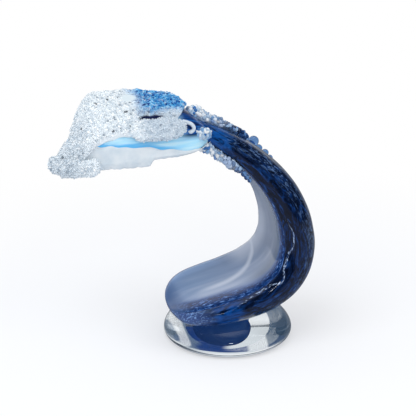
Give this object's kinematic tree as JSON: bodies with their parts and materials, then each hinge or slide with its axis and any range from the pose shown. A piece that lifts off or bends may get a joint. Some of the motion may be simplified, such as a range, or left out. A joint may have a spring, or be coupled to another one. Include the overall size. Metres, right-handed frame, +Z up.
{
  "type": "glass wave sculpture",
  "caption": "Curling wave of dark cobalt glass on a clear round foot, its thin crest capped with white and blue crushed glass and edged with beads.",
  "frame": {"origin": "centre of the foot's flat base", "axes": "+Z up, the wave lies in the XZ plane with its back at +X and its crest thrown towards -X, -Y is the side that the picture shows"},
  "size_m": [0.2268, 0.11, 0.2187],
  "materials": {
    "clear_glass": "clear, polished, full of reflections of the blue above it",
    "cobalt_glass": "very dark cobalt with mid-blue mottling, polished",
    "veil_glass": "milky blue-grey opal, polished",
    "aqua_glass": "translucent light blue, slightly ribbed",
    "opal_glass": "translucent white opal, softly frosted",
    "clear_frit": "clear to pale blue crushed glass, fire-polished edges",
    "blue_frit": "cornflower blue crushed glass with pale grains",
    "white_frit": "white and clear crushed glass with a few grey grains",
    "bead_glass": "clear, fire-polished drops"
  },
  "bodies": {
    "root": {"foot": "clear_glass", "wave_body": "cobalt_glass", "face_veil": "veil_glass", "crest_sheet": "aqua_glass", "opal_lip": "opal_glass", "outer_frit": "clear_frit", "inner_frit": "clear_frit", "far_frit": "blue_frit", "top_foam": "white_frit", "front_foam": "white_frit", "lip_foam": "white_frit", "outer_beads": "bead_glass", "inner_beads": "bead_glass"}
  },
  "joints": []
}
